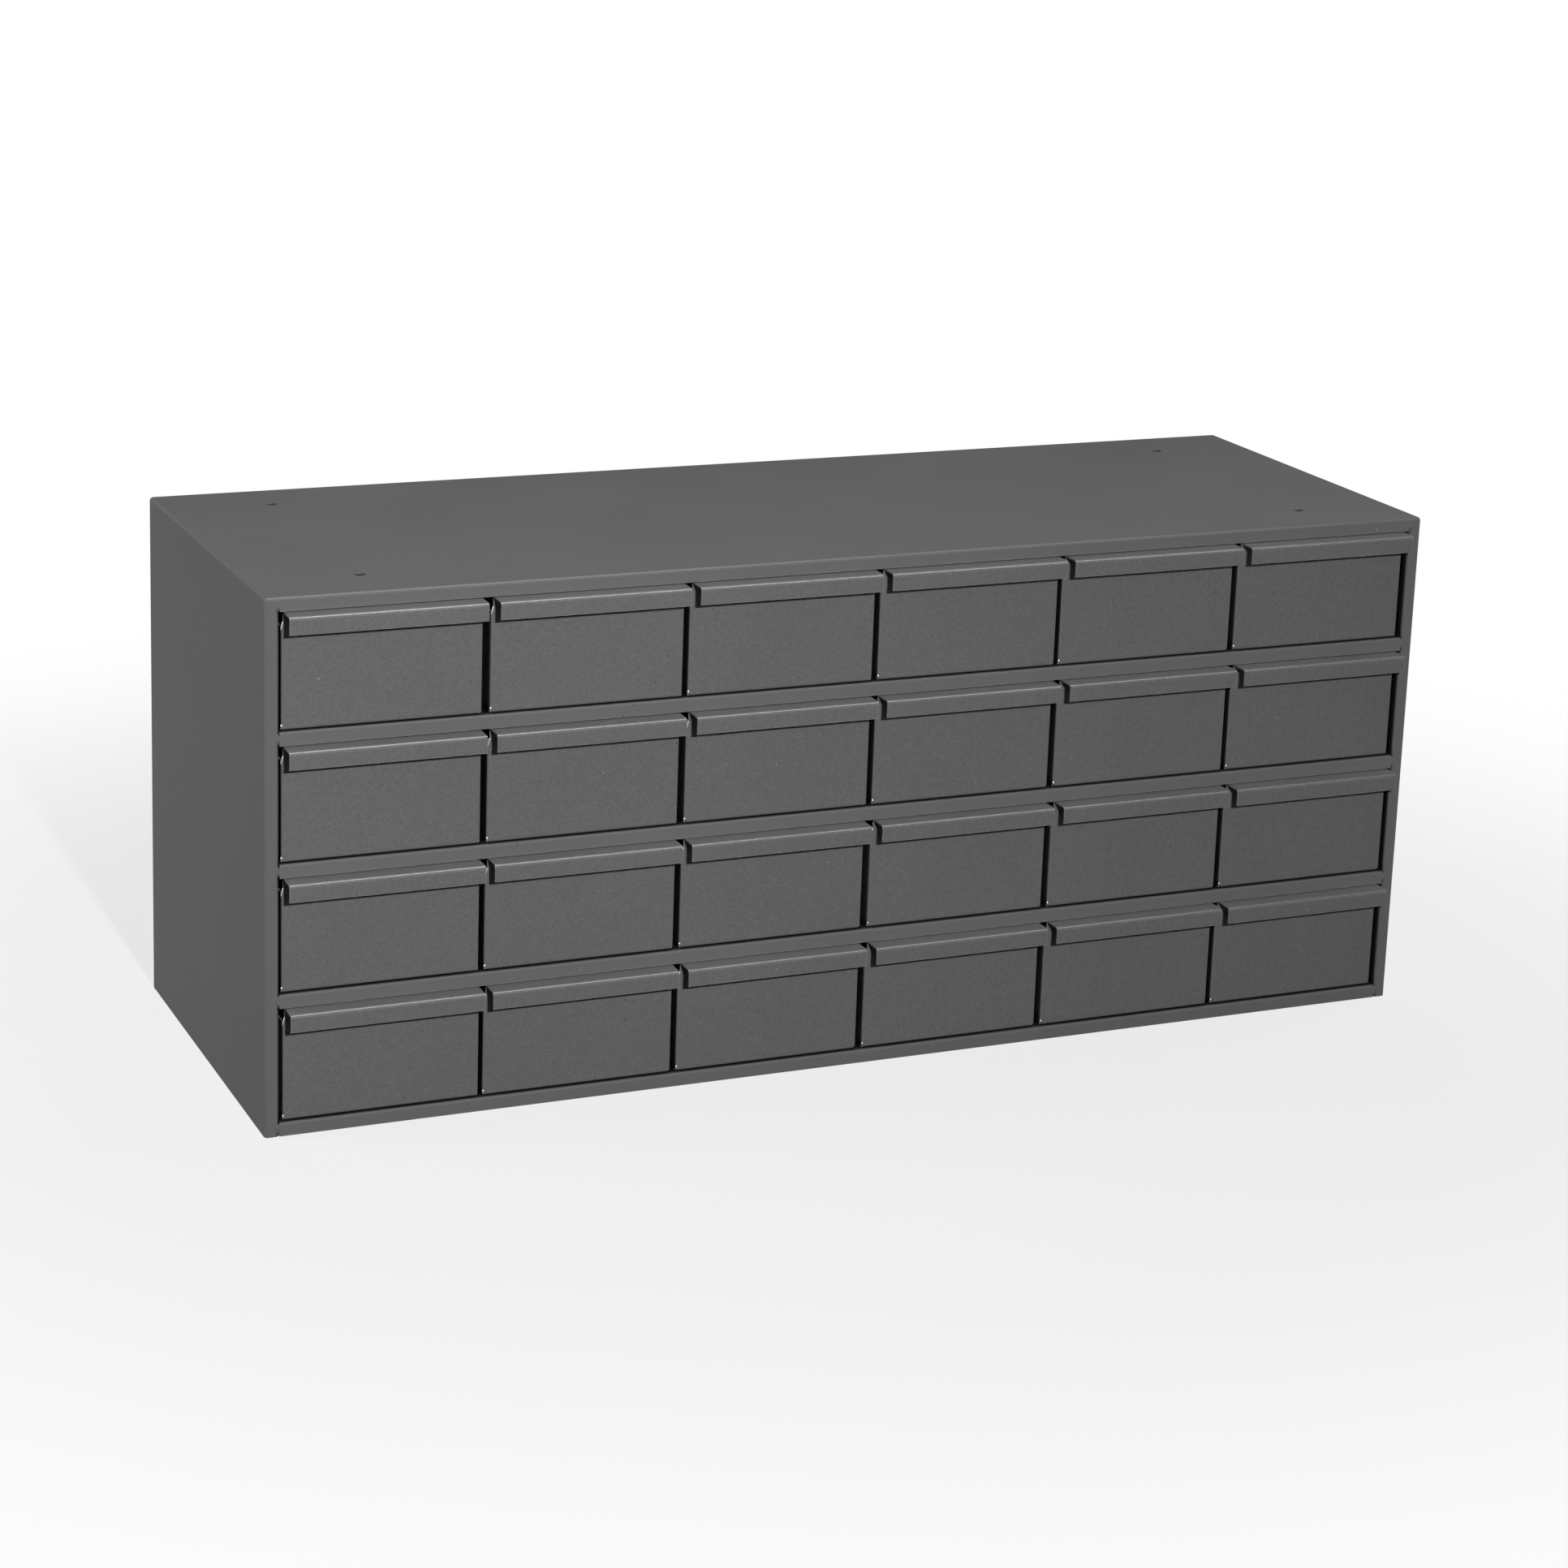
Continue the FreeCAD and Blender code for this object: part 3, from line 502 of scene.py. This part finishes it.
def soft_box(name, place, aim, width, height, watts):
    """A rectangular studio lamp."""
    lamp = bpy.data.lights.new(name, "AREA")
    lamp.shape = "RECTANGLE"
    lamp.size, lamp.size_y = width, height
    lamp.energy = watts
    return aim_lamp(name, lamp, place, aim)


def spot(name, place, aim, cone, radius, watts):
    """A studio lamp in a reflector, whose cone in degrees fades all the way from its middle."""
    lamp = bpy.data.lights.new(name, "SPOT")
    lamp.spot_size = math.radians(cone)
    lamp.spot_blend = 1.0
    lamp.shadow_soft_size = radius
    lamp.energy = watts
    return aim_lamp(name, lamp, place, aim)


def make_world(strength):
    """White to the eye, and a soft even light on the object."""
    world = bpy.data.worlds.new("studio")
    world.use_nodes = True
    bpy.context.scene.world = world
    tree = world.node_tree
    tree.nodes.clear()
    path = add(tree, "ShaderNodeLightPath").outputs
    seen = add(tree, "ShaderNodeMath", {
        0: path["Is Camera Ray"], 1: path["Is Transmission Ray"]}, operation="MAXIMUM")
    seen = add(tree, "ShaderNodeMath", {0: seen.outputs[0], 1: path["Is Glossy Ray"]}, operation="MAXIMUM")
    level = add(tree, "ShaderNodeMapRange", {"Value": seen.outputs[0], "To Min": strength, "To Max": 1.0})
    light = add(tree, "ShaderNodeBackground", {"Color": (1, 1, 1, 1), "Strength": level.outputs[0]})
    add(tree, "ShaderNodeOutputWorld", {"Surface": light.outputs[0]})


def make_floor(span, seen_colour, thrown_colour, fade_start, fade_end, clear_share):
    """Pale floor under the cabinet, near white to the eye, that fades into the white background.

    It is darker to the light that it throws back on the object, so that the gaps between the bins stay dark.
    clear_share is how far it has faded already under the cabinet; its shadow stays.
    """
    mesh = bpy.data.meshes.new("floor")
    corners = [(-span, -span, 0), (span, -span, 0), (span, span, 0), (-span, span, 0)]
    mesh.from_pydata(corners, [], [(0, 1, 2, 3)])
    floor = bpy.data.objects.new("floor", mesh)
    bpy.context.scene.collection.objects.link(floor)
    material, tree = new_material("pale_floor")
    place = add(tree, "ShaderNodeTexCoord").outputs["Object"]
    away = add(tree, "ShaderNodeVectorMath", {0: place}, operation="LENGTH")
    fade = add(tree, "ShaderNodeMapRange", {
        "Value": away.outputs["Value"], "From Min": fade_start, "From Max": fade_end,
        "To Min": clear_share}, interpolation_type="SMOOTHSTEP")
    path = add(tree, "ShaderNodeLightPath").outputs
    shade = add(tree, "ShaderNodeMix", {
        0: path["Is Diffuse Ray"], 6: linear(seen_colour), 7: linear(thrown_colour)}, data_type="RGBA")
    matt = add(tree, "ShaderNodeBsdfDiffuse", {"Color": shade.outputs[2]})
    faded = product(tree, fade.outputs[0], path["Is Camera Ray"])
    clear = add(tree, "ShaderNodeBsdfTransparent")
    mixed = add(tree, "ShaderNodeMixShader", {0: faded, 1: matt.outputs[0], 2: clear.outputs[0]})
    add(tree, "ShaderNodeOutputMaterial", {"Surface": mixed.outputs[0]})
    mesh.materials.append(material)


make_camera()
make_world(strength=0.03)
make_floor(span=12.0, seen_colour="#f4f4f4", thrown_colour="#303030", fade_start=0.5, fade_end=1.2,
           clear_share=0.72)

# Two lamps stand together, a little above the camera and to its right, where the photograph's light came
# from: the handles and the gaps between the bins then draw thin dark lines. The spot fades to the right.
LAMP_PLACE = (-0.49, -2.51, 1.22)
LEFT_PLACE = (-1.9, 0.45, 0.5)
UPPER_LEFT, MIDDLE = (-0.6, -0.14, 0.3), (0, -0.05, 0.2)
spot("key", LAMP_PLACE, UPPER_LEFT, cone=40, radius=0.05, watts=45.0)
soft_box("front", LAMP_PLACE, MIDDLE, width=0.1, height=0.1, watts=48.5)
soft_box("left", LEFT_PLACE, MIDDLE, width=0.8, height=0.8, watts=12.8)

# Fills for the sides that the photograph doesn't show, kept out of the gloss on the top.
REAR_PLACE, RIGHT_PLACE = (0.5, 1.6, 0.18), (1.9, 0.1, 0.18)
LOW_MIDDLE = (0, 0, 0.18)
REAR_FILL = soft_box("rear_fill", REAR_PLACE, LOW_MIDDLE, width=1.4, height=0.34, watts=20.0)
RIGHT_FILL = soft_box("right_fill", RIGHT_PLACE, LOW_MIDDLE, width=1.2, height=0.34, watts=22.0)
for fill in (REAR_FILL, RIGHT_FILL):
    fill.visible_glossy = False

# Strips above the front that only draw the highlights along the folds, brighter towards the left.
STRIP_PLACE, STRIP_AIM = (0.0, -0.35, 1.3), (0.0, -0.15, 0.2)
ACCENT_PLACE, ACCENT_AIM = (-0.1, -0.35, 1.3), (-0.1, -0.15, 0.2)
STRIP = soft_box("strip", STRIP_PLACE, STRIP_AIM, width=1.8, height=0.2, watts=35.0)
ACCENT = soft_box("accent", ACCENT_PLACE, ACCENT_AIM, width=0.5, height=0.2, watts=9.5)
for lamp in (STRIP, ACCENT):
    lamp.visible_diffuse = False

scene = bpy.context.scene
scene.view_settings.view_transform = "Standard"
